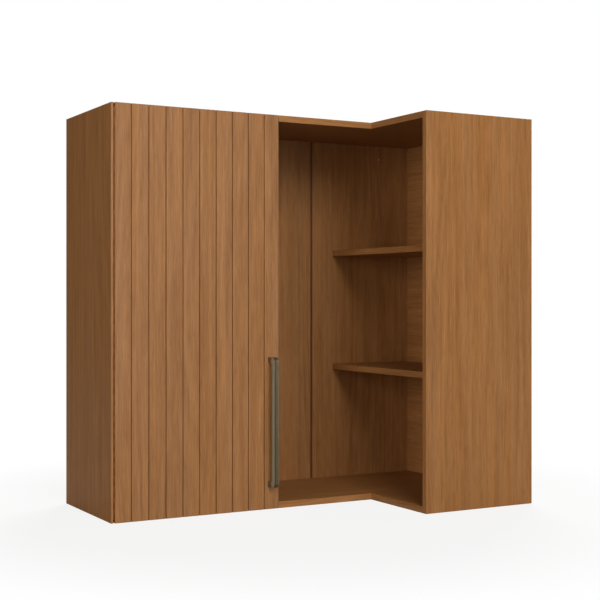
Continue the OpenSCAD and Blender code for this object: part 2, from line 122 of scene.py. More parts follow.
# A board is where one node tree is laid out, of a material or of geometry
class Board:
    def __init__(self, tree):
        self.tree = tree

    def node(self, kind, settings=None, values=None, out=0):
        made = self.tree.nodes.new(kind)
        for name, value in (settings or {}).items():
            setattr(made, name, value)
        for name, value in (values or {}).items():
            self.plug(value, made.inputs[name])
        return Wire(self, made.outputs[out]) if made.outputs else made

    def plug(self, value, socket):
        if isinstance(value, Wire):
            self.tree.links.new(value.socket, socket)
            return
        if hasattr(socket.default_value, "__len__") and len(socket.default_value) == 4 and len(value) == 3:
            value = (*value, 1)
        socket.default_value = value

    def maths(self, operation, *parts):
        return self.node("ShaderNodeMath", {"operation": operation}, dict(enumerate(parts)))

    def joined(self, x, y, z):
        return self.node("ShaderNodeCombineXYZ", None, {0: x, 1: y, 2: z})

    def parted(self, vector):
        made = self.tree.nodes.new("ShaderNodeSeparateXYZ")
        self.plug(vector, made.inputs[0])
        return [Wire(self, socket) for socket in made.outputs]

    def axes(self):  # the piece's own coordinates
        return self.parted(self.node("ShaderNodeTexCoord", None, None, "Object"))

    def kept(self, name):  # a share that is kept on the mesh
        return self.node("ShaderNodeAttribute", {"attribute_name": name}, None, "Fac")

    def mixed(self, share, first, second):  # colours; share 0 gives the first
        made = self.tree.nodes.new("ShaderNodeMix")
        made.data_type = "RGBA"
        for value, socket in zip((share, first, second), (made.inputs[0], made.inputs[6], made.inputs[7])):
            self.plug(value, socket)
        return Wire(self, made.outputs[2])

    def noise(self, x, y, z, detail=2.0, rough=0.5):
        return self.node("ShaderNodeTexNoise", None,
                         {"Vector": self.joined(x, y, z), "Scale": 1.0, "Detail": detail, "Roughness": rough})


def colour(red, green, blue):  # from the 0 to 255 values of a picture to the linear values of a shader
    def linear(value):
        value /= 255
        return value / 12.92 if value <= 0.04045 else ((value + 0.055) / 1.055) ** 2.4
    return linear(red), linear(green), linear(blue)


def newMaterial(name):
    material = bpy.data.materials.new(name)
    material.use_nodes = True
    material.node_tree.nodes.clear()
    return material, Board(material.node_tree)


def closeMaterial(board, values, height, lift):
    values["Normal"] = board.node("ShaderNodeBump", None, {
        "Height": height, "Distance": lift, "Strength": 1.0})
    shader = board.node("ShaderNodeBsdfPrincipled", None, values)
    board.node("ShaderNodeOutputMaterial", None, {"Surface": shader})


# Wood-grain board: flecks, streaks, strands and bands along one axis, a faint figure of growth rings,
# short pores, and a hue that drifts from pale to warm
woodLook = {
    "light": colour(176, 122, 70),
    "dark": colour(137, 89, 45),
    "pore": colour(92, 57, 27),
    "warm": colour(169, 107, 51),
}
paleTint = (0.98, 1.02, 1.15)
warmTint = (1.02, 0.98, 0.86)
# painted shade: the warmer, deeper tint of the left panel's outside
shadedSideTint = (1.0, 0.93, 0.7)
doorTint = (1.0, 1.03, 1.14)
grainLayers = {  # how fine across the grain and along it, detail, roughness, and share in the tone
    "flecks": (520, 24, 1, 0.5, 1.0),
    "streaks": (430, 6, 3, 0.6, 0.75),
    "strands": (190, 3.5, 2, 0.5, 0.75),
    "bands": (62, 1.8, 2, 0.5, 0.85),
}
woodFigure = {
    "swayWidth": 18 * mm,
    "rings": 0.09,
    "hueDrift": 1.6,
    "patches": 0.75,
    "pores": 0.28,
    "grooveShade": 0.3,
}


def tinted(tone, tint):
    return tuple(part * share for part, share in zip(tone, tint))


# Painted shade: the outside of the left panel is tinted warmer and deeper, as it looks in shade. The door's
# wood is tinted slightly cooler.
shadedSideLook = {key: tinted(tone, shadedSideTint) for key, tone in woodLook.items()}
doorLook = {key: tinted(tone, doorTint) for key, tone in woodLook.items()}


def grainAxes(board, along):  # along the grain, then the two ways across it
    axes = board.axes()
    order = {"X": (0, 1, 2), "Y": (1, 0, 2), "Z": (2, 0, 1)}[along]
    return (axes[place] for place in order)


def woodFinish(name, along, look=woodLook, shade=1.0, roughness=0.48, grooved=False):
    material, board = newMaterial(name)
    length, across, depth = grainAxes(board, along)
    sway = (board.noise(across * 6, depth * 6, length * 2.2, 2) - 0.5) * woodFigure["swayWidth"]
    a, b = across + sway, depth + sway
    layers, tone = {}, 0.5
    for layer, (fine, long, detail, rough, share) in grainLayers.items():
        layers[layer] = board.noise(a * fine, b * fine, length * long, detail, rough)
        tone = tone + (layers[layer] - 0.5) * share
    rings = (board.noise(a * 9, b * 9, length * 0.8, 1) * 88).sine()
    tone = (tone + rings * woodFigure["rings"]).least(1).most(0)
    pores = board.noise(a * 1250, b * 1250, length * 48, 1).step(0.62, 0.74)
    patches = board.noise(across * 14, depth * 14, length * 2.2, 2)
    hue = 0.5 + (board.noise(a * 36, b * 36, length * 1.2, 1) - 0.5) * woodFigure["hueDrift"]
    light, dark, pore, warm = (tinted(look[key], (shade,) * 3) for key in ("light", "dark", "pore", "warm"))
    base = board.mixed(tone, board.mixed(hue, tinted(dark, paleTint), tinted(dark, warmTint)),
                       board.mixed(hue, tinted(light, paleTint), tinted(light, warmTint)))
    base = board.mixed((patches - 0.35) * woodFigure["patches"], base, board.mixed(0.45, base, warm))
    base = board.mixed(pores * woodFigure["pores"], base, pore)
    if grooved:  # painted shade: the inside of the routed grooves is darkened toward the pore tone
        base = board.mixed(board.kept("groove") * woodFigure["grooveShade"], base, pore)
    streaks = layers["streaks"]
    closeMaterial(board, {
        "Base Color": base,
        "Roughness": roughness + (streaks - 0.5) * 0.12 + pores * 0.08,
        "Specular IOR Level": 0.3,
    }, streaks * 0.5 - pores * 0.8, 0.06 * mm)
    return material


# Pressed chips, seen where a board was sawn or drilled
def chipboardFinish():
    material, board = newMaterial("chipboardCore")
    x, y, z = board.axes()
    place = board.joined(x * 420, y * 420, z * 650)
    chips = board.node("ShaderNodeTexVoronoi", None, {"Vector": place, "Scale": 1.0}, "Color")
    chipTone = board.parted(chips)[0]
    border = board.node("ShaderNodeTexVoronoi", {"feature": "DISTANCE_TO_EDGE"},
                        {"Vector": place, "Scale": 1.0})
    gaps = border.step(0.0, 0.09)
    dust = board.noise(x * 1500, y * 1500, z * 1500, 3)
    base = board.mixed(chipTone * 0.7 + dust * 0.3, colour(150, 118, 80), colour(205, 176, 134))
    base = board.mixed((1 - gaps) * 0.6, base, colour(96, 70, 44))
    closeMaterial(board, {"Base Color": base, "Roughness": 0.82 + dust * 0.1, "Specular IOR Level": 0.2},
                  gaps * 0.6 + dust * 0.5, 0.2 * mm)
    return material


# Bare side of the thin backs: matted fibres
def fibreFinish():
    material, board = newMaterial("fibreboard")
    x, y, z = board.axes()
    fibres = board.noise(x * 380, y * 380, z * 300, 5, 0.72)
    cloud = board.noise(x * 9, y * 9, z * 9, 3)
    base = board.mixed(fibres, colour(108, 78, 50), colour(158, 122, 84))
    base = board.mixed(cloud * 0.3, base, colour(122, 86, 54))
    closeMaterial(board, {"Base Color": base, "Roughness": 0.74 + fibres * 0.12, "Specular IOR Level": 0.25},
                  fibres, 0.12 * mm)
    return material


# Planed softwood of the rails, posts and dowels, with growth rings along one axis
def softwoodFinish(name, along):
    material, board = newMaterial(name)
    length, across, depth = grainAxes(board, along)
    sway = board.noise(across * 22, depth * 22, length * 1.1, 2)
    drift = board.noise(across * 70, depth * 70, length * 0.7, 1)
    rings = ((across + depth * 0.6) * 1500 + drift * 14 + sway * 34).sine().step(-0.4, 1.0)
    fibre = board.noise(across * 900, depth * 900, length * 12, 3)
    cloud = board.noise(across * 12, depth * 12, length * 2, 2)
    base = board.mixed(rings * 0.45 + fibre * 0.3 + cloud * 0.15, colour(228, 196, 148), colour(178, 130, 80))
    closeMaterial(board, {"Base Color": base, "Roughness": 0.58 + fibre * 0.14, "Specular IOR Level": 0.3},
                  fibre * 0.6 + rings * 0.4, 0.1 * mm)
    return material


# Metals differ in colour, in gloss, in how they are brushed and in spots of tarnish
usualMetallic = 0.92
metalLooks = {
    "bronze": {"light": colour(111, 97, 74), "dark": colour(77, 65, 47), "gloss": 0.48,
               "brush": (700, 700, 14), "spots": 0.3, "metal": 0.55,
               # paintedGlint is the colour of a painted highlight on the handle's side edges
               "paintedGlint": colour(170, 169, 143), "patina": colour(74, 63, 46)},
    "hingeBrown": {"light": colour(136, 88, 54), "dark": colour(104, 62, 36), "gloss": 0.5,
                   "brush": (300, 300, 30), "spots": 0.3},
    "screwZinc": {"light": colour(205, 203, 194), "dark": colour(150, 146, 132), "gloss": 0.32,
                  "brush": (900, 900, 900), "spots": 0.2},
    "screwBrown": {"light": colour(108, 82, 56), "dark": colour(66, 46, 30), "gloss": 0.38,
                   "brush": (900, 900, 900), "spots": 0.25},
    "castZinc": {"light": colour(176, 176, 172), "dark": colour(120, 120, 116), "gloss": 0.5,
                 "brush": (420, 420, 420), "spots": 0.35},
    "steelPlate": {"light": colour(200, 202, 202), "dark": colour(150, 152, 154), "gloss": 0.3,
                   "brush": (40, 900, 900), "spots": 0.15},
}


def metalFinish(name):
    look = metalLooks[name]
    material, board = newMaterial(name)
    x, y, z = board.axes()
    brushX, brushY, brushZ = look["brush"]
    lines = board.noise(x * brushX, y * brushY, z * brushZ, 3, 0.6)
    cloud = board.noise(x * 55, y * 55, z * 55, 4, 0.62)
    tarnish = cloud.step(0.5, 0.72) * look["spots"]
    base = board.mixed(tarnish + lines * 0.25, look["light"], look["dark"])
    # a painted highlight on the side edges and patina in the flutes, mixed in by the shares kept on the mesh
    for mark in ("paintedGlint", "patina"):
        if mark in look:
            base = board.mixed(board.kept(mark) * (1 - lines * 0.3), base, look[mark])
    closeMaterial(board, {
        "Base Color": base,
        "Metallic": look.get("metal", usualMetallic) - tarnish * 0.3,
        "Roughness": look["gloss"] + (lines - 0.5) * 0.16 + tarnish * 0.2,
    }, lines * 0.6 + cloud * 0.4, 0.03 * mm)
    return material


# Moulded plastic with a fine spark-eroded skin
plasticLooks = {
    "stripBrown": {"light": colour(104, 58, 28), "dark": colour(76, 38, 16), "gloss": 0.5, "sheer": 0.0},
    "catchBrown": {"light": colour(128, 88, 54), "dark": colour(98, 64, 38), "gloss": 0.5, "sheer": 0.0},
    "magnetBlack": {"light": colour(62, 58, 56), "dark": colour(34, 32, 32), "gloss": 0.62, "sheer": 0.0},
    "bumperClear": {"light": colour(228, 224, 214), "dark": colour(204, 198, 186), "gloss": 0.28,
                    "sheer": 0.35},
}


def plasticFinish(name):
    look = plasticLooks[name]
    material, board = newMaterial(name)
    x, y, z = board.axes()
    skin = board.noise(x * 2400, y * 2400, z * 2400, 2)
    cloud = board.noise(x * 70, y * 70, z * 20, 3)
    values = {
        "Base Color": board.mixed(cloud, look["dark"], look["light"]),
        "Roughness": look["gloss"] + (skin - 0.5) * 0.12 + (cloud - 0.5) * 0.1,
        "Subsurface Weight": look["sheer"],
        "Subsurface Scale": 2 * mm,
    }
    closeMaterial(board, values, skin, 0.04 * mm)
    return material


finishes = {
    "uprightWood": woodFinish("uprightWood", "Z"),
    # the left panel's outside, with painted shade in its tint
    "shadedSideWood": woodFinish("shadedSideWood", "Z", shadedSideLook),
    "doorWood": woodFinish("doorWood", "Z", doorLook, grooved=True),
    "crossWood": woodFinish("crossWood", "X"),
    "armWood": woodFinish("armWood", "Y"),
    # painted shade on the rear backs, a little darker, and painted light on the side back, a little lighter
    "backWood": woodFinish("backWood", "Z", shade=0.97, roughness=0.54),
    "sideBackWood": woodFinish("sideBackWood", "Y", shade=1.12, roughness=0.54),
    "chipboardCore": chipboardFinish(),
    "fibreboard": fibreFinish(),
    "railPine": softwoodFinish("railPine", "X"),
    "postPine": softwoodFinish("postPine", "Z"),
}
finishes.update({name: metalFinish(name) for name in metalLooks})
finishes.update({name: plasticFinish(name) for name in plasticLooks})
print("finishes made:", len(finishes))


# Every piece is a plain mesh at the origin, which rides on its body and stands for its CAD node
def showPiece(mesh, name, node, materials=None):
    for material in materials or []:
        mesh.materials.append(material)
    piece = bpy.data.objects.new(name, mesh)
    bpy.context.scene.collection.objects.link(piece)
    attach(piece, bodyOf[node])
    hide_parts(node)


weldDistance = 0.001 * mm
sharpEdge = 35  # degrees, above which an edge is broken


def welded(mesh):
    shape = bmesh.new()
    shape.from_mesh(mesh)
    bmesh.ops.remove_doubles(shape, verts=shape.verts, dist=weldDistance)
    return shape


def flatCopy(mesh):  # welded, with one flat face for all the triangles that lie in a plane
    shape = welded(mesh)
    bmesh.ops.dissolve_limit(shape, angle_limit=math.radians(0.5), verts=shape.verts, edges=shape.edges)
    for face in shape.faces:
        face.smooth = False
    return shape


def rounded(shape, radius, segments=2, shortest=2 * mm):
    edges = [edge for edge in shape.edges if edge.is_manifold
             and edge.calc_face_angle(0) > math.radians(sharpEdge) and edge.calc_length() > shortest]
    made = bmesh.ops.bevel(shape, geom=edges, offset=radius, segments=segments, profile=0.5,
                           affect="EDGES", clamp_overlap=True, material=-1)
    for face in made["faces"]:
        face.smooth = True


def meshOf(shape, name):
    mesh = bpy.data.meshes.new(name)
    shape.to_mesh(mesh)
    shape.free()
    return mesh


# Panels, backs and rails: the CAD shapes with broken edges. Each has a finish for its faces, one for the
# core in drilled holes and one for the side that faces the wall, and the radius of its edges in millimetres.
panels = {
    "left_side": ("shadedSideWood", "chipboardCore", "chipboardCore", 0.6),
    "end_panel": ("uprightWood", "chipboardCore", "uprightWood", 0.6),
    "top_panel": ("crossWood", "chipboardCore", "chipboardCore", 0.6),
    "bottom_panel": ("crossWood", "chipboardCore", "chipboardCore", 0.6),
    "upper_shelves": ("armWood", "chipboardCore", "chipboardCore", 0.6),
    "lowest_shelf": ("armWood", "chipboardCore", "chipboardCore", 0.6),
    "rear_back_left": ("backWood", "fibreboard", "fibreboard", 0.2),
    "rear_back_right": ("backWood", "fibreboard", "fibreboard", 0.2),
    "side_back": ("sideBackWood", "fibreboard", "fibreboard", 0.2),
    "top_hanging_rail": ("railPine", "railPine", "railPine", 0.5),
    "bottom_hanging_rail": ("railPine", "railPine", "railPine", 0.5),
    "shelf_post": ("postPine", "postPine", "postPine", 0.8),
    "corner_post": ("postPine", "postPine", "postPine", 0.8),
}
edgeBands = {  # panels with another band on the edges that look along one axis
    "top_panel": ("armWood", 0),
    "bottom_panel": ("armWood", 0),
    "left_side": ("uprightWood", 1),
}
holeFace = 26 * mm  # the faces of a drilled hole are shorter than this
skinDepth = 0.05 * mm  # a face this near to the panel's box is on its outside
squareOn = 0.99  # least part of a normal along an axis that it counts as facing


def finishPlace(part, node, low, high):  # 0 face, 1 core, 2 side to the wall, 3 edge band
    extent = max((corner.co - part.verts[0].co).length for corner in part.verts)
    middle = part.calc_center_median()
    onOutside = any(abs(part.normal[axis]) > squareOn
                    and min(middle[axis] - low[axis], high[axis] - middle[axis]) < skinDepth
                    for axis in range(3))
    wallAxis = 0 if node == "side_back" else 1
    if extent < holeFace and not onOutside:
        return 1
    if part.normal[wallAxis] > squareOn and onOutside:
        return 2
    if node in edgeBands and abs(part.normal[edgeBands[node][1]]) > squareOn:
        return 3
    return 0


for node, (face, core, wallSide, radius) in panels.items():
    shape = flatCopy(nodes[node].data)
    low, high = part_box(node)
    for part in shape.faces:
        part.material_index = finishPlace(part, node, low, high)
        part.smooth = part.material_index == 1
    rounded(shape, radius * mm)
    band = edgeBands[node][0] if node in edgeBands else face
    showPiece(meshOf(shape, node + "Mesh"), node + "Piece", node,
              [finishes[name] for name in (face, core, wallSide, band)])
print("panels made:", len(panels))


# Small plain fittings keep their CAD shape with softened edges: finish, and radius in millimetres
fittings = {
    "back_joint_strip": ("stripBrown", 0.15),
    "catch_cases": ("catchBrown", 0.6),
    "catch_magnets": ("magnetBlack", 0.2),
    "catch_poles": ("steelPlate", 0.15),
    "strike_plates": ("steelPlate", 0.2),
}
for node, (finish, radius) in fittings.items():
    shape = flatCopy(nodes[node].data)
    rounded(shape, radius * mm, shortest=0.8 * mm)
    showPiece(meshOf(shape, node + "Mesh"), node + "Piece", node, [finishes[finish]])
print("fittings made:", len(fittings))


# Geometry trees: inputs are named sockets, which a modifier sets by their identifiers
def newTree(name, inputs):
    tree = bpy.data.node_groups.new(name, "GeometryNodeTree")
    for label, kind in inputs.items():
        tree.interface.new_socket(label, in_out="INPUT", socket_type="NodeSocket" + kind)
    tree.interface.new_socket("Result", in_out="OUTPUT", socket_type="NodeSocketGeometry")
    board = Board(tree)
    entry = tree.nodes.new("NodeGroupInput")
    wires = {label: Wire(board, entry.outputs[label]) for label in inputs}
    return board, wires


def closeTree(board, result, finish):
    plain = board.node("GeometryNodeRealizeInstances", None, {0: result})
    painted = board.node("GeometryNodeSetMaterial", None, {"Geometry": plain, "Material": finish})
    ending = board.tree.nodes.new("NodeGroupOutput")
    board.plug(painted, ending.inputs[0])
    return board.tree


def grown(tree, name, values, start=None):
    holder = bpy.data.objects.new(name, start or bpy.data.meshes.new(name + "Start"))
    bpy.context.scene.collection.objects.link(holder)
    modifier = holder.modifiers.new("grow", "NODES")
    modifier.node_group = tree
    for socket in tree.interface.items_tree:
        if socket.in_out == "INPUT" and socket.name in values:
            modifier[socket.identifier] = values[socket.name]
    ready = bpy.context.evaluated_depsgraph_get()
    mesh = bpy.data.meshes.new_from_object(holder.evaluated_get(ready), depsgraph=ready)
    mesh.name = name + "Mesh"
    mesh.materials.clear()
    mesh.materials.append(values["Finish"])
    mesh.polygons.foreach_set("material_index", [0] * len(mesh.polygons))
    holder.modifiers.remove(modifier)
    bpy.data.objects.remove(holder)
    return mesh


# Door: a slab with a row of routed grooves, whose edges are then broken
def grooveTree():
    board, entry = newTree("groovedSlab", {
        "Low corner": "Vector", "Size": "Vector", "Grooves": "Int", "Pitch": "Float",
        "Groove width": "Float", "Groove depth": "Float", "Finish": "Material"})
    slabSize = board.parted(entry["Size"])
    middle = board.node("ShaderNodeVectorMath", {"operation": "MULTIPLY_ADD"},
                        {0: entry["Size"], 1: (0.5, 0.5, 0.5), 2: entry["Low corner"]})
    slab = board.node("GeometryNodeMeshCube", None, {"Size": entry["Size"]}, "Mesh")
    slab = board.node("GeometryNodeTransform", None, {"Geometry": slab, "Translation": middle})
    # A cutter's middle lies on the front face, and it reaches past both ends of the slab
    cutterSize = board.joined(entry["Groove width"], entry["Groove depth"] * 2, slabSize[2] * 1.2)
    cutter = board.node("GeometryNodeMeshCube", None, {"Size": cutterSize}, "Mesh")
    middleParts = board.parted(middle)
    lowParts = board.parted(entry["Low corner"])
    firstX = middleParts[0] - (entry["Grooves"] - 1) * entry["Pitch"] * 0.5
    row = board.node("GeometryNodeMeshLine", {"mode": "OFFSET"}, {
        "Count": entry["Grooves"], "Start Location": board.joined(firstX, lowParts[1], middleParts[2]),
        "Offset": board.joined(entry["Pitch"], 0.0, 0.0)})
    cutters = board.node("GeometryNodeInstanceOnPoints", None, {"Points": row, "Instance": cutter})
    cutters = board.node("GeometryNodeRealizeInstances", None, {0: cutters})
    made = board.tree.nodes.new("GeometryNodeMeshBoolean")
    made.operation = "DIFFERENCE"
    board.plug(slab, made.inputs["Mesh 1"])
    board.plug(cutters, made.inputs["Mesh 2"])
    return closeTree(board, Wire(board, made.outputs["Mesh"]), entry["Finish"])


door = {
    "grooves": 9,
    "groovePitch": 40.85 * mm,
    "grooveWidth": 2.4 * mm,
    "grooveDepth": 3.0 * mm,
    "edgeRadius": 0.35 * mm,
}
doorLow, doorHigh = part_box("door_panel")
doorMesh = grown(grooveTree(), "door", {
    "Low corner": doorLow, "Size": doorHigh - doorLow,
    "Grooves": door["grooves"], "Pitch": door["groovePitch"],
    "Groove width": door["grooveWidth"], "Groove depth": door["grooveDepth"],
    "Finish": finishes["doorWood"]})
shape = flatCopy(doorMesh)
rounded(shape, door["edgeRadius"], segments=3)
inGroove = shape.faces.layers.float.new("groove")
for face in shape.faces:  # the walls and the floor of a groove, and not its rounded rim, take the painted shade
    depth = face.calc_center_median().y - doorLow.y
    face[inGroove] = float(abs(face.normal.z) < 0.5 and 0.5 * mm < depth < door["grooveDepth"] + 0.1 * mm)
shape.to_mesh(doorMesh)
shape.free()
showPiece(doorMesh, "doorPiece", "door_panel")
print("door made:", len(doorMesh.polygons), "faces")


# Handle: a fluted bar that bows back to the door at both ends, swept as rings across its width
handle = {
    "outerRadius": 10 * mm,
    "innerRadius": 7 * mm,
    "legThickness": 12 * mm,
    "barThickness": 11 * mm,
    "cornerRadius": 0.7 * mm,
    "cornerSteps": 4,
    "flutes": 2,
    "fluteDepth": 0.9 * mm,
    "fluteShare": 0.27,  # half a flute's width, of the flutes' pitch
    "fluteSteps": 4,  # on each side of its middle
    "arcSteps": 12,
    "legShare": 0.35,  # straight part of a leg, of the reach
    "glintStart": 0.5,  # from here to the bar a painted highlight brightens the side edges, of the reach
    "glintRun": 0.3,
}


def bowLine(reach, height, radius, inset, look):  # from foot to foot round the bar, as (out, up)
    top, steps, leg = height - inset, look["arcSteps"], reach * look["legShare"]
    line = [(0.0, inset), (leg, inset)]
    for step in range(steps + 1):
        angle = math.pi / 2 * step / steps
        line.append((reach - radius + radius * math.sin(angle), inset + radius - radius * math.cos(angle)))
    for step in range(steps + 1):
        angle = math.pi / 2 * step / steps
        line.append((reach - radius + radius * math.cos(angle), top - radius + radius * math.sin(angle)))
    line += [(leg, top), (0.0, top)]
    return line


def crossProfile(width, look):  # ring of (across, 0 in front or 1 behind, dip into the bar)
    r, steps, fluteSteps = look["cornerRadius"], look["cornerSteps"], look["fluteSteps"]
    angles = [math.radians(90 - 90 * step / steps) for step in range(steps + 1)]
    corner = [(r * (1 - math.sin(angle)), r * (1 - math.cos(angle))) for angle in angles]
    front = [(x, 0.0, dip) for x, dip in corner]
    pitch = (width - 2 * r) / (look["flutes"] + 1)
    half = pitch * look["fluteShare"]
    for flute in range(look["flutes"]):
        centre = r + pitch * (flute + 1)
        for step in range(-fluteSteps, fluteSteps + 1):
            depth = look["fluteDepth"] * math.sqrt(max(0.0, 1 - (step / fluteSteps) ** 2))
            front.append((centre + half * step / fluteSteps, 0.0, depth))
    front += [(width - x, 0.0, dip) for x, dip in reversed(corner)]
    back = [(width - x, 1.0, dip) for x, dip in corner]
    back += [(x, 1.0, dip) for x, dip in reversed(corner)]
    return front + back


def handleMesh(node, look):
    low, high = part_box(node)
    width, reach, height = high - low
    outer = bowLine(reach, height, look["outerRadius"], 0.0, look)
    inner = bowLine(reach - look["barThickness"], height, look["innerRadius"], look["legThickness"], look)
    ring = crossProfile(width, look)
    shape = bmesh.new()
    paintedGlint = shape.verts.layers.float.new("paintedGlint")
    patina = shape.verts.layers.float.new("patina")
    radius = look["cornerRadius"]
    rings = []
    for (outOuter, upOuter), (outInner, upInner) in zip(outer, inner):
        onBar = (outOuter - reach * look["glintStart"]) / (reach * look["glintRun"])
        onBar = min(max(onBar, 0.0), 1.0)
        start, end = Vector((outOuter, upOuter)), Vector((outInner, upInner))
        inward = (end - start).normalized()
        corners = []
        for across, side, dip in ring:
            place = start + inward * dip if side == 0 else end - inward * dip
            corner = shape.verts.new((low.x + across, high.y - place.x, low.z + place.y))
            fromSide = min(across, width - across) / radius
            # painted highlight: a lighter colour on the bar's rounded side edges, fading in from the legs
            corner[paintedGlint] = onBar * max(0.0, 1 - fromSide)
            corner[patina] = dip / look["fluteDepth"] if side == 0 and fromSide > 1 else 0.0
            corners.append(corner)
        rings.append(corners)
    for first, second in zip(rings, rings[1:]):
        for place in range(len(ring)):
            after = (place + 1) % len(ring)
            face = shape.faces.new((first[place], first[after], second[after], second[place]))
            face.smooth = True
    shape.faces.new(rings[0])
    shape.faces.new(list(reversed(rings[-1])))
    bmesh.ops.recalc_face_normals(shape, faces=shape.faces)
    return meshOf(shape, "handleMesh")


showPiece(handleMesh("handle", handle), "handlePiece", "handle", [finishes["bronze"]])
print("handle made")


# Hinge: rolled knuckles in a row on each leaf, and the leaf itself as folded sheet
hinge = {
    "knucklePitch": 25 * mm,
    "knuckleGap": 0.5 * mm,
    "sheet": 0.7 * mm,
    "knuckleRadius": 1.4 * mm,
    "chamfer": 0.15 * mm,
    "rootDepth": 1.75 * mm,
    "sides": 20,
    "running": 0.05 * mm,  # play of the pin in the door's knuckles
}


def knuckleTree():
    board, entry = newTree("hingeKnuckles", {
        "Start": "Vector", "Knuckles": "Int", "Step": "Float", "Length": "Float", "Radius": "Float",
        "Bore": "Float", "Chamfer": "Float", "Finish": "Material"})
    outline = board.tree.nodes.new("GeometryNodeCurvePrimitiveQuadrilateral")
    outline.mode = "RECTANGLE"
    board.plug(entry["Radius"] - entry["Bore"], outline.inputs["Width"])
    board.plug(entry["Length"], outline.inputs["Height"])
    section = board.node("GeometryNodeFilletCurve", {"mode": "POLY"}, {
        "Curve": Wire(board, outline.outputs["Curve"]), "Count": 2, "Radius": entry["Chamfer"]})
    shift = board.node("ShaderNodeMath", {"operation": "ADD"}, {0: entry["Radius"], 1: entry["Bore"]}) * 0.5
    circle = board.tree.nodes.new("GeometryNodeCurvePrimitiveCircle")
    circle.inputs["Resolution"].default_value = hinge["sides"]
    board.plug(shift, circle.inputs["Radius"])
    knuckle = board.node("GeometryNodeCurveToMesh", None, {
        "Curve": Wire(board, circle.outputs["Curve"]), "Profile Curve": section})
    startParts = board.parted(entry["Start"])
    row = board.node("GeometryNodeMeshLine", {"mode": "OFFSET"}, {
        "Count": entry["Knuckles"],
        "Start Location": board.joined(startParts[0], startParts[1], startParts[2] + entry["Length"] * 0.5),
        "Offset": board.joined(0.0, 0.0, entry["Step"])})
    copies = board.node("GeometryNodeInstanceOnPoints", None, {"Points": row, "Instance": knuckle})
    return closeTree(board, copies, entry["Finish"])


def addBox(shape, low, high):
    corners = [shape.verts.new((x, y, z)) for x in (low[0], high[0])
               for y in (low[1], high[1]) for z in (low[2], high[2])]
    for order in ((0, 1, 3, 2), (4, 6, 7, 5), (0, 4, 5, 1), (2, 3, 7, 6), (0, 2, 6, 4), (1, 5, 7, 3)):
        shape.faces.new([corners[place] for place in order])


tree = knuckleTree()
pinLow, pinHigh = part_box("hinge_pin")
pinRadius = (pinHigh.x - pinLow.x) / 2
pinMiddle = (pinLow + pinHigh) / 2
count = round((pinHigh.z - pinLow.z) / hinge["knucklePitch"])
for node, first, running in (("hinge_side_leaf", 0, 0.0), ("hinge_door_leaf", 1, hinge["running"])):
    low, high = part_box(node)
    own = (count - first + 1) // 2
    knuckleLength = hinge["knucklePitch"] - hinge["knuckleGap"]
    lowest = pinLow.z + first * hinge["knucklePitch"] + hinge["knuckleGap"] / 2
    start = Vector((pinMiddle.x, pinMiddle.y, lowest))
    mesh = grown(tree, node + "Knuckles", {
        "Start": start, "Knuckles": own, "Step": 2 * hinge["knucklePitch"], "Length": knuckleLength,
        "Radius": hinge["knuckleRadius"], "Bore": pinRadius + running, "Chamfer": hinge["chamfer"],
        "Finish": finishes["hingeBrown"]})
    shape = bmesh.new()
    shape.from_mesh(mesh)
    bmesh.ops.recalc_face_normals(shape, faces=shape.faces)
    sheet = hinge["sheet"]
    leafStart = pinMiddle.y + hinge["rootDepth"]
    if node == "hinge_side_leaf":
        addBox(shape, (low.x, leafStart, low.z), (low.x + sheet, high.y, high.z))
        addBox(shape, (low.x + sheet, high.y - sheet, low.z), (high.x, high.y, high.z))
        root = (low.x, low.x + sheet)
    else:
        addBox(shape, (high.x - sheet, leafStart, low.z), (high.x, high.y, high.z))
        root = (high.x - sheet, high.x)
    for place in range(own):
        base = start.z + place * 2 * hinge["knucklePitch"]
        addBox(shape, (root[0], pinMiddle.y, base), (root[1], leafStart, base + knuckleLength))
    shape.to_mesh(mesh)
    shape.free()
    showPiece(mesh, node + "Piece", node)
print("hinge made:", count, "knuckles")


# Fasteners: one drawn shape, copied to every solid of its CAD node, screws and nails turned by chance
def numberSocket(sockets, name):  # several sockets share a name, and one of them holds a number
    return [socket for socket in sockets if socket.name == name and socket.type == "VALUE"][0]


def copiesTree():
    board, entry = newTree("fastenerCopies", {
        "Places": "Geometry", "Shape": "Object", "Largest turn": "Float", "Seed": "Int",
        "Finish": "Material"})
    shape = board.node("GeometryNodeObjectInfo", None, {"Object": entry["Shape"]}, "Geometry")
    facing = board.node("GeometryNodeInputNamedAttribute", {"data_type": "FLOAT_VECTOR"},
                        {"Name": "facing"}, "Attribute")
    made = board.tree.nodes.new("FunctionNodeRandomValue")
    made.data_type = "FLOAT"
    board.plug(0.0, numberSocket(made.inputs, "Min"))
    board.plug(entry["Largest turn"], numberSocket(made.inputs, "Max"))
    board.plug(entry["Seed"], made.inputs["Seed"])
    chance = Wire(board, numberSocket(made.outputs, "Value"))
    aim = board.node("FunctionNodeEulerToRotation", None, {0: facing})
    spin = board.node("FunctionNodeEulerToRotation", None, {0: board.joined(0.0, 0.0, chance)})
    turn = board.node("FunctionNodeRotateRotation", {"rotation_space": "LOCAL"}, {0: aim, 1: spin})
    copies = board.node("GeometryNodeInstanceOnPoints", None, {
        "Points": entry["Places"], "Instance": shape, "Rotation": turn})
    return closeTree(board, copies, entry["Finish"])


def solidsOf(node):  # the boxes of a node's separate solids
    shape = welded(nodes[node].data)
    waiting, boxes = dict.fromkeys(shape.verts), []  # keeps its order, so the copies' turns do too
    while waiting:
        front = [waiting.popitem()[0]]
        group = list(front)
        while front:
            for edge in front.pop().link_edges:
                for vertex in edge.verts:
                    if vertex in waiting:
                        waiting.pop(vertex)
                        front.append(vertex)
                        group.append(vertex)
        boxes.append((Vector([min(v.co[i] for v in group) for i in range(3)]),
                      Vector([max(v.co[i] for v in group) for i in range(3)])))
    shape.free()
    return boxes


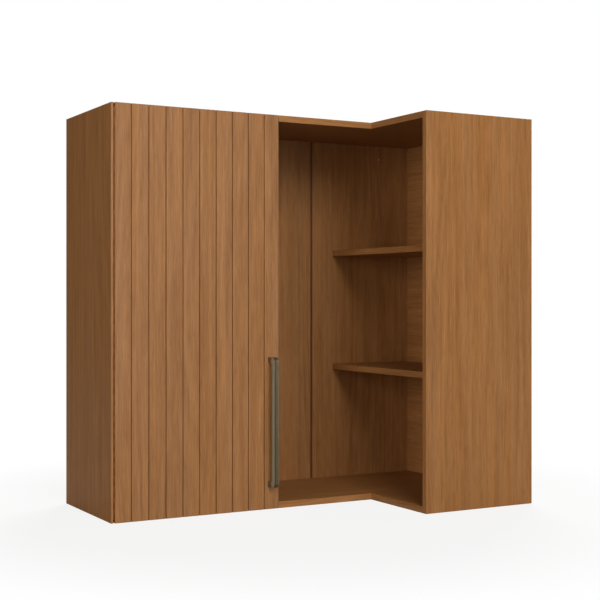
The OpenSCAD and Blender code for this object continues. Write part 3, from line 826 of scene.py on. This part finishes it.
def lathe(profile, name, segments=20):  # profile of (radius, height) from the lower pole to the upper one
    shape = bmesh.new()
    rings = []
    for radius, height in profile:
        if radius == 0:
            rings.append([shape.verts.new((0, 0, height))])
        else:
            rings.append([shape.verts.new((radius * math.cos(a), radius * math.sin(a), height))
                          for a in (2 * math.pi * k / segments for k in range(segments))])
    for lower, upper in zip(rings, rings[1:]):
        for k in range(segments):
            after = (k + 1) % segments
            corners = [lower[k % len(lower)], lower[after % len(lower)],
                       upper[after % len(upper)], upper[k % len(upper)]]
            face = shape.faces.new(list(dict.fromkeys(corners)))  # a pole gives a triangle
            face.smooth = True
    bmesh.ops.recalc_face_normals(shape, faces=shape.faces)
    mesh = meshOf(shape, name)
    mesh.set_sharp_from_angle(angle=math.radians(32))
    return mesh


def crossCut(mesh, name, size, width, depth):  # a cross recess in the top of a head whose face is at height 0
    head = bpy.data.objects.new(name, mesh)
    shape = bmesh.new()
    for long, wide in ((size, width), (width, size)):
        addBox(shape, (-long, -wide, -depth), (long, wide, depth))
    tool = bpy.data.objects.new(name + "Tool", meshOf(shape, name + "Tool"))
    for thing in (head, tool):
        bpy.context.scene.collection.objects.link(thing)
    cut = head.modifiers.new("cross", "BOOLEAN")
    cut.operation = "DIFFERENCE"
    cut.solver = "EXACT"
    cut.object = tool
    cut.use_self = True
    ready = bpy.context.evaluated_depsgraph_get()
    made = bpy.data.meshes.new_from_object(head.evaluated_get(ready), depsgraph=ready)
    for thing in (head, tool):
        bpy.data.objects.remove(thing)
    return made


def screwShape(length, headRadius, name, flat):
    shank, root, pitch = headRadius * 0.5, headRadius * 0.36, headRadius * 0.34
    headHeight = headRadius * (0.62 if flat else 0.4)
    threadTop = -headHeight - headRadius * 0.4
    profile = [(0, -length), (root * 0.5, -length + shank)]
    turns = max(3, int((length - shank + threadTop) / pitch))
    for turn in range(turns):
        base = -length + shank + turn * (length - shank + threadTop) / turns
        profile += [(root, base + pitch * 0.1), (shank, base + pitch * 0.5)]
    profile += [(root, threadTop), (shank * 0.9, threadTop + headRadius * 0.1)]
    if flat:
        profile += [(shank * 0.9, -headHeight), (headRadius, -headRadius * 0.1), (headRadius, 0), (0, 0)]
    else:
        profile += [(shank, -headHeight), (headRadius, -headHeight), (headRadius, -headHeight * 0.45),
                    (headRadius * 0.8, -headHeight * 0.12), (headRadius * 0.45, 0), (0, 0)]
    mesh = lathe(profile, name)
    return crossCut(mesh, name, headRadius * 0.52, headRadius * 0.12, headHeight * 0.75)


def nailShape(length, headRadius, name):
    shank = headRadius * 0.44
    return lathe([(0, -length), (shank, -length + 2 * shank), (shank, -0.5 * mm), (headRadius, -0.42 * mm),
                  (headRadius, -0.1 * mm), (headRadius * 0.8, 0), (0, 0)], name, 12)


def dowelShape(length, radius, name):
    flutes, ends = 18, 0.9 * mm
    shape = bmesh.new()
    rings = []
    for height, share in ((-length, 0.8), (-length + ends, 1.0), (-ends, 1.0), (0, 0.8)):
        ring = []
        for k in range(2 * flutes):
            angle, reach = math.pi * k / flutes, radius * share * (1.0 if k % 2 else 0.93)
            ring.append(shape.verts.new((reach * math.cos(angle), reach * math.sin(angle), height)))
        rings.append(ring)
    for lower, upper in zip(rings, rings[1:]):
        for k in range(2 * flutes):
            after = (k + 1) % (2 * flutes)
            shape.faces.new((lower[k], lower[after], upper[after], upper[k]))
    shape.faces.new(list(reversed(rings[0])))
    shape.faces.new(rings[-1])
    bmesh.ops.recalc_face_normals(shape, faces=shape.faces)
    return meshOf(shape, name)


def camShape(length, radius, name):
    waist, lip = radius * 0.9, 0.35 * mm
    mesh = lathe([(0, -length), (waist, -length), (waist, -0.55 * length), (radius, -0.5 * length),
                  (radius, -0.5 * mm), (radius - 0.5 * mm, 0), (radius * 0.62, 0), (radius * 0.6, -lip),
                  (0, -lip)], name, 36)
    return crossCut(mesh, name, radius * 0.52, radius * 0.13, 2.4 * mm)


def boltShape(length, radius, name):
    neck, thread, collar = radius * 0.66, radius * 0.76, radius * 0.85
    pitch, turns = 1.0 * mm, 10
    profile = [(0, -length), (thread * 0.6, -length)]
    for turn in range(turns):
        base = -length + 0.4 * mm + turn * pitch
        profile += [(thread * 0.72, base), (thread, base + 0.5 * pitch)]
    profile += [(thread * 0.7, -length + 10.8 * mm), (collar, -length + 11 * mm),
                (collar, -length + 12.2 * mm), (neck, -length + 12.6 * mm), (neck, -3.4 * mm),
                (radius, -2.9 * mm), (radius, -0.5 * mm), (radius * 0.75, 0), (0, 0)]
    return lathe(profile, name, 20)


def pinShape(length, radius, name):
    stem = radius * 0.71
    return lathe([(0, -length), (radius * 0.6, -length), (stem, -length + 0.5 * mm), (stem, -7.2 * mm),
                  (radius, -7.0 * mm), (radius, -0.8 * mm), (radius * 0.8, 0), (0, 0)], name, 24)


def bumperShape(length, radius, name):
    return lathe([(0, -length), (radius, -length), (radius, -length * 0.55), (radius * 0.9, -length * 0.25),
                  (radius * 0.62, -length * 0.06), (radius * 0.3, 0), (0, 0)], name, 28)


def hingePinShape(length, radius, name):
    return lathe([(0, -length), (radius * 0.6, -length), (radius, -length + 0.4 * mm), (radius, -0.4 * mm),
                  (radius * 0.6, 0), (0, 0)], name, 16)


# Each kind has a shape, the way in which its outer end points, a finish and its largest turn in radians.
# outUp and inUp point from or to the cabinet's middle height, and along follows the longest side.
anyTurn = 6.28
fasteners = {
    "rail_screws": ("flatScrew", "outUp", "screwZinc", anyTurn),
    "shelf_screws": ("flatScrew", (0, 1, 0), "screwZinc", anyTurn),
    "catch_screws": ("domedScrew", "inUp", "screwZinc", anyTurn),
    "strike_screws": ("domedScrew", (0, 1, 0), "screwZinc", anyTurn),
    "handle_screws": ("domedScrew", (0, 1, 0), "screwZinc", anyTurn),
    "hinge_side_screws": ("domedScrew", (0, -1, 0), "screwBrown", anyTurn),
    "hinge_door_screws": ("domedScrew", (-1, 0, 0), "screwBrown", anyTurn),
    "back_nails": ("nail", (1, 0, 0), "screwZinc", anyTurn),
    "panel_dowels": ("dowel", "along", "railPine", 0.0),
    "rail_dowels": ("dowel", "along", "railPine", 0.0),
    "cam_housings": ("cam", "outUp", "castZinc", 0.0),
    "cam_bolts": ("bolt", "along", "screwZinc", 0.0),
    "shelf_pins": ("pin", (0, 1, 0), "steelPlate", 0.0),
    "door_bumpers": ("bumper", (0, 1, 0), "bumperClear", 0.0),
    "hinge_pin": ("hingePin", (0, 0, 1), "screwBrown", 0.0),
}
shapers = {
    "flatScrew": lambda length, radius, name: screwShape(length, radius, name, True),
    "domedScrew": lambda length, radius, name: screwShape(length, radius, name, False),
    "nail": nailShape, "dowel": dowelShape, "cam": camShape, "bolt": boltShape,
    "pin": pinShape, "bumper": bumperShape, "hingePin": hingePinShape,
}
middleHeight = (cadBounds[0].z + cadBounds[1].z) / 2
copying = copiesTree()


def outerDirection(rule, low, high):
    size, middle = high - low, (low + high) / 2
    if rule == "outUp":
        return Vector((0, 0, 1 if middle.z > middleHeight else -1))
    if rule == "inUp":
        return Vector((0, 0, -1 if middle.z > middleHeight else 1))
    if rule == "along":
        axis = max(range(3), key=lambda i: size[i])
        return Vector([float(i == axis) for i in range(3)])
    return Vector(rule)


for seed, (node, (kind, rule, finish, largestTurn)) in enumerate(fasteners.items()):
    boxes = solidsOf(node)
    places, turns = [], []
    for low, high in boxes:
        way = outerDirection(rule, low, high)
        axis = max(range(3), key=lambda i: abs(way[i]))
        size, middle = high - low, (low + high) / 2
        places.append(middle + way * size[axis] / 2)
        turns.append(way.to_track_quat("Z", "Y").to_euler())
        length = size[axis]
        radius = max(size[i] for i in range(3) if i != axis) / 2
    start = bpy.data.meshes.new(node + "Places")
    start.from_pydata(places, [], [])
    facing = start.attributes.new("facing", "FLOAT_VECTOR", "POINT")
    facing.data.foreach_set("vector", [value for turn in turns for value in turn])
    pattern = bpy.data.objects.new(node + "Pattern", shapers[kind](length, radius, node + "Pattern"))
    bpy.context.scene.collection.objects.link(pattern)
    mesh = grown(copying, node, {
        "Shape": pattern, "Largest turn": largestTurn, "Seed": seed, "Finish": finishes[finish]}, start)
    bpy.data.objects.remove(pattern)
    showPiece(mesh, node + "Piece", node)
print("fasteners made:", len(fasteners), "kinds")


# Room: a pale floor that takes a soft shadow, white behind, and wide lamps, mostly in front and on the left
studio = {
    "floorSize": 60.0,
    "worldLight": 0.03,
    "mirroredWhite": 0.12,
    "lampDistance": 4.5,
    "aimHeight": 0.45,
    "shadowShare": 0.16,
    "shadowFade": 0.25,  # where the shadow starts to fade, of the reach squared
    "shadowReach": 1.1,
}
lamps = {  # turn from straight in front, to the left below 0; rise above the level; watts; width in metres
    "keyLamp": (-10, 30, 84, 1.8),
    "leftLamp": (-54, 5, 89, 2.2),
    "lowLamp": (4, 5, 50, 2.2),
    "backLamp": (140, 38, 170, 2.6),
}


def seenRays(board):  # what the camera sees, also through glass, and in part what metal and gloss mirror
    made = board.tree.nodes.new("ShaderNodeLightPath")
    camera, mirrored, through = (Wire(board, made.outputs[name])
                                 for name in ("Is Camera Ray", "Is Glossy Ray", "Is Transmission Ray"))
    return (camera + through + mirrored * studio["mirroredWhite"]).least(1)


floorMaterial, board = newMaterial("paleFloor")
x, y, z = board.axes()
floorTone = board.noise(x * 3, y * 3, z, 2)
pale = board.mixed(floorTone, colour(244, 244, 243), colour(247, 247, 247))
bounced = colour(150, 150, 150)
lit = board.node("ShaderNodeBsdfDiffuse", None, {"Color": board.mixed(seenRays(board), bounced, pale)})
glow = board.node("ShaderNodeEmission", None, {"Color": (1.0, 1.0, 1.0), "Strength": 1.0})
reach = (x * x + y * y) / (studio["shadowReach"] * studio["shadowReach"])
shadow = (1 - reach.step(studio["shadowFade"], 1.0)) * studio["shadowShare"]
share = seenRays(board) * (1 - shadow)
floorShader = board.node("ShaderNodeMixShader", None, {0: share, 1: lit, 2: glow})
board.node("ShaderNodeOutputMaterial", None, {"Surface": floorShader})
half = studio["floorSize"] / 2
floorMesh = bpy.data.meshes.new("floor")
floorCorners = [(-half, -half, 0), (half, -half, 0), (half, half, 0), (-half, half, 0)]
floorMesh.from_pydata(floorCorners, [], [(0, 1, 2, 3)])
floorMesh.materials.append(floorMaterial)
floor = bpy.data.objects.new("floor", floorMesh)
bpy.context.scene.collection.objects.link(floor)

world = bpy.data.worlds.new("room")
bpy.context.scene.world = world
world.use_nodes = True
world.node_tree.nodes.clear()
board = Board(world.node_tree)
strength = studio["worldLight"] + seenRays(board) * (1 - studio["worldLight"])
sky = board.node("ShaderNodeBackground", None, {"Color": (1.0, 1.0, 1.0), "Strength": strength})
board.node("ShaderNodeOutputWorld", None, {"Surface": sky})

aim = Vector((0, 0, studio["aimHeight"]))
for name, (turn, rise, power, width) in lamps.items():
    lampData = bpy.data.lights.new(name, "AREA")
    lampData.energy = power
    lampData.size = width
    lamp = bpy.data.objects.new(name, lampData)
    across, up = math.radians(turn), math.radians(rise)
    away = Vector((math.sin(across) * math.cos(up), -math.cos(across) * math.cos(up), math.sin(up)))
    lamp.location = aim + away * studio["lampDistance"]
    lamp.rotation_euler = (-away).to_track_quat("-Z", "Y").to_euler()
    bpy.context.scene.collection.objects.link(lamp)
bpy.context.scene.view_settings.view_transform = "Standard"
print("room made")
